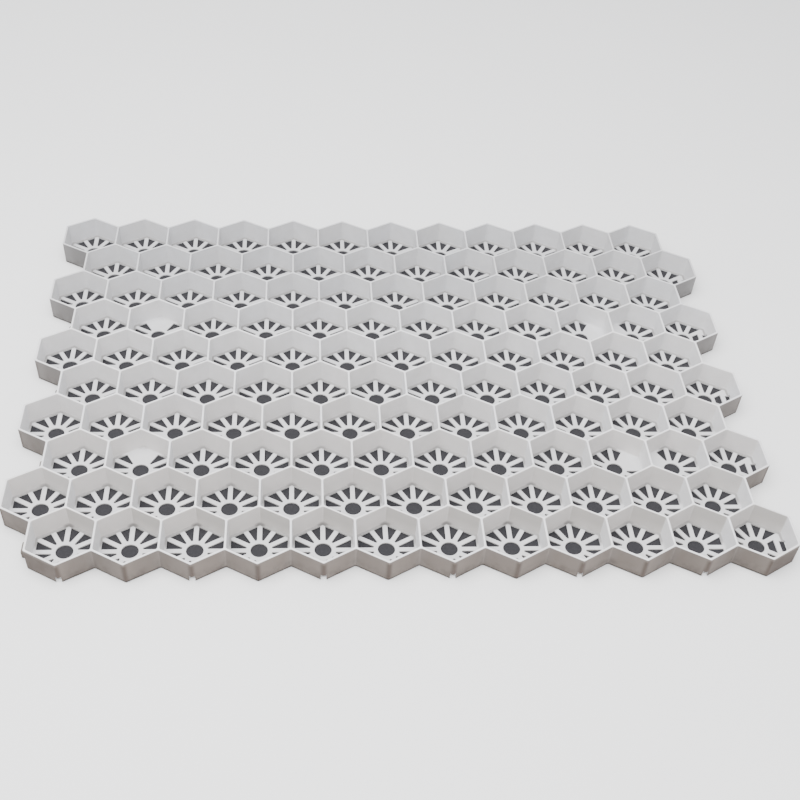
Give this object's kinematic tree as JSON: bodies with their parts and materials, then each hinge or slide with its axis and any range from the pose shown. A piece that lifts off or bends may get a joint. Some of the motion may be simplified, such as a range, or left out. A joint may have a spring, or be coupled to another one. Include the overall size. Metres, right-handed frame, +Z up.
{
  "type": "grass reinforcement grid panel",
  "caption": "Flat honeycomb ground grid panel of open hexagonal cells with perforated floors, and edge hooks and notches that lock panels together.",
  "frame": {"origin": "middle of the underside, at floor level", "axes": "+X along the rows of cells to the side with the floor slots, +Y to the back edge with the hooks in its corners, +Z up out of the cells"},
  "size_m": [1.1698, 0.8382, 0.04],
  "materials": {
    "white_plastic": "white moulded plastic, satin, slightly hazy, with faint dust in the corners"
  },
  "bodies": {
    "root": {"cell_grid": "white_plastic"}
  },
  "joints": []
}
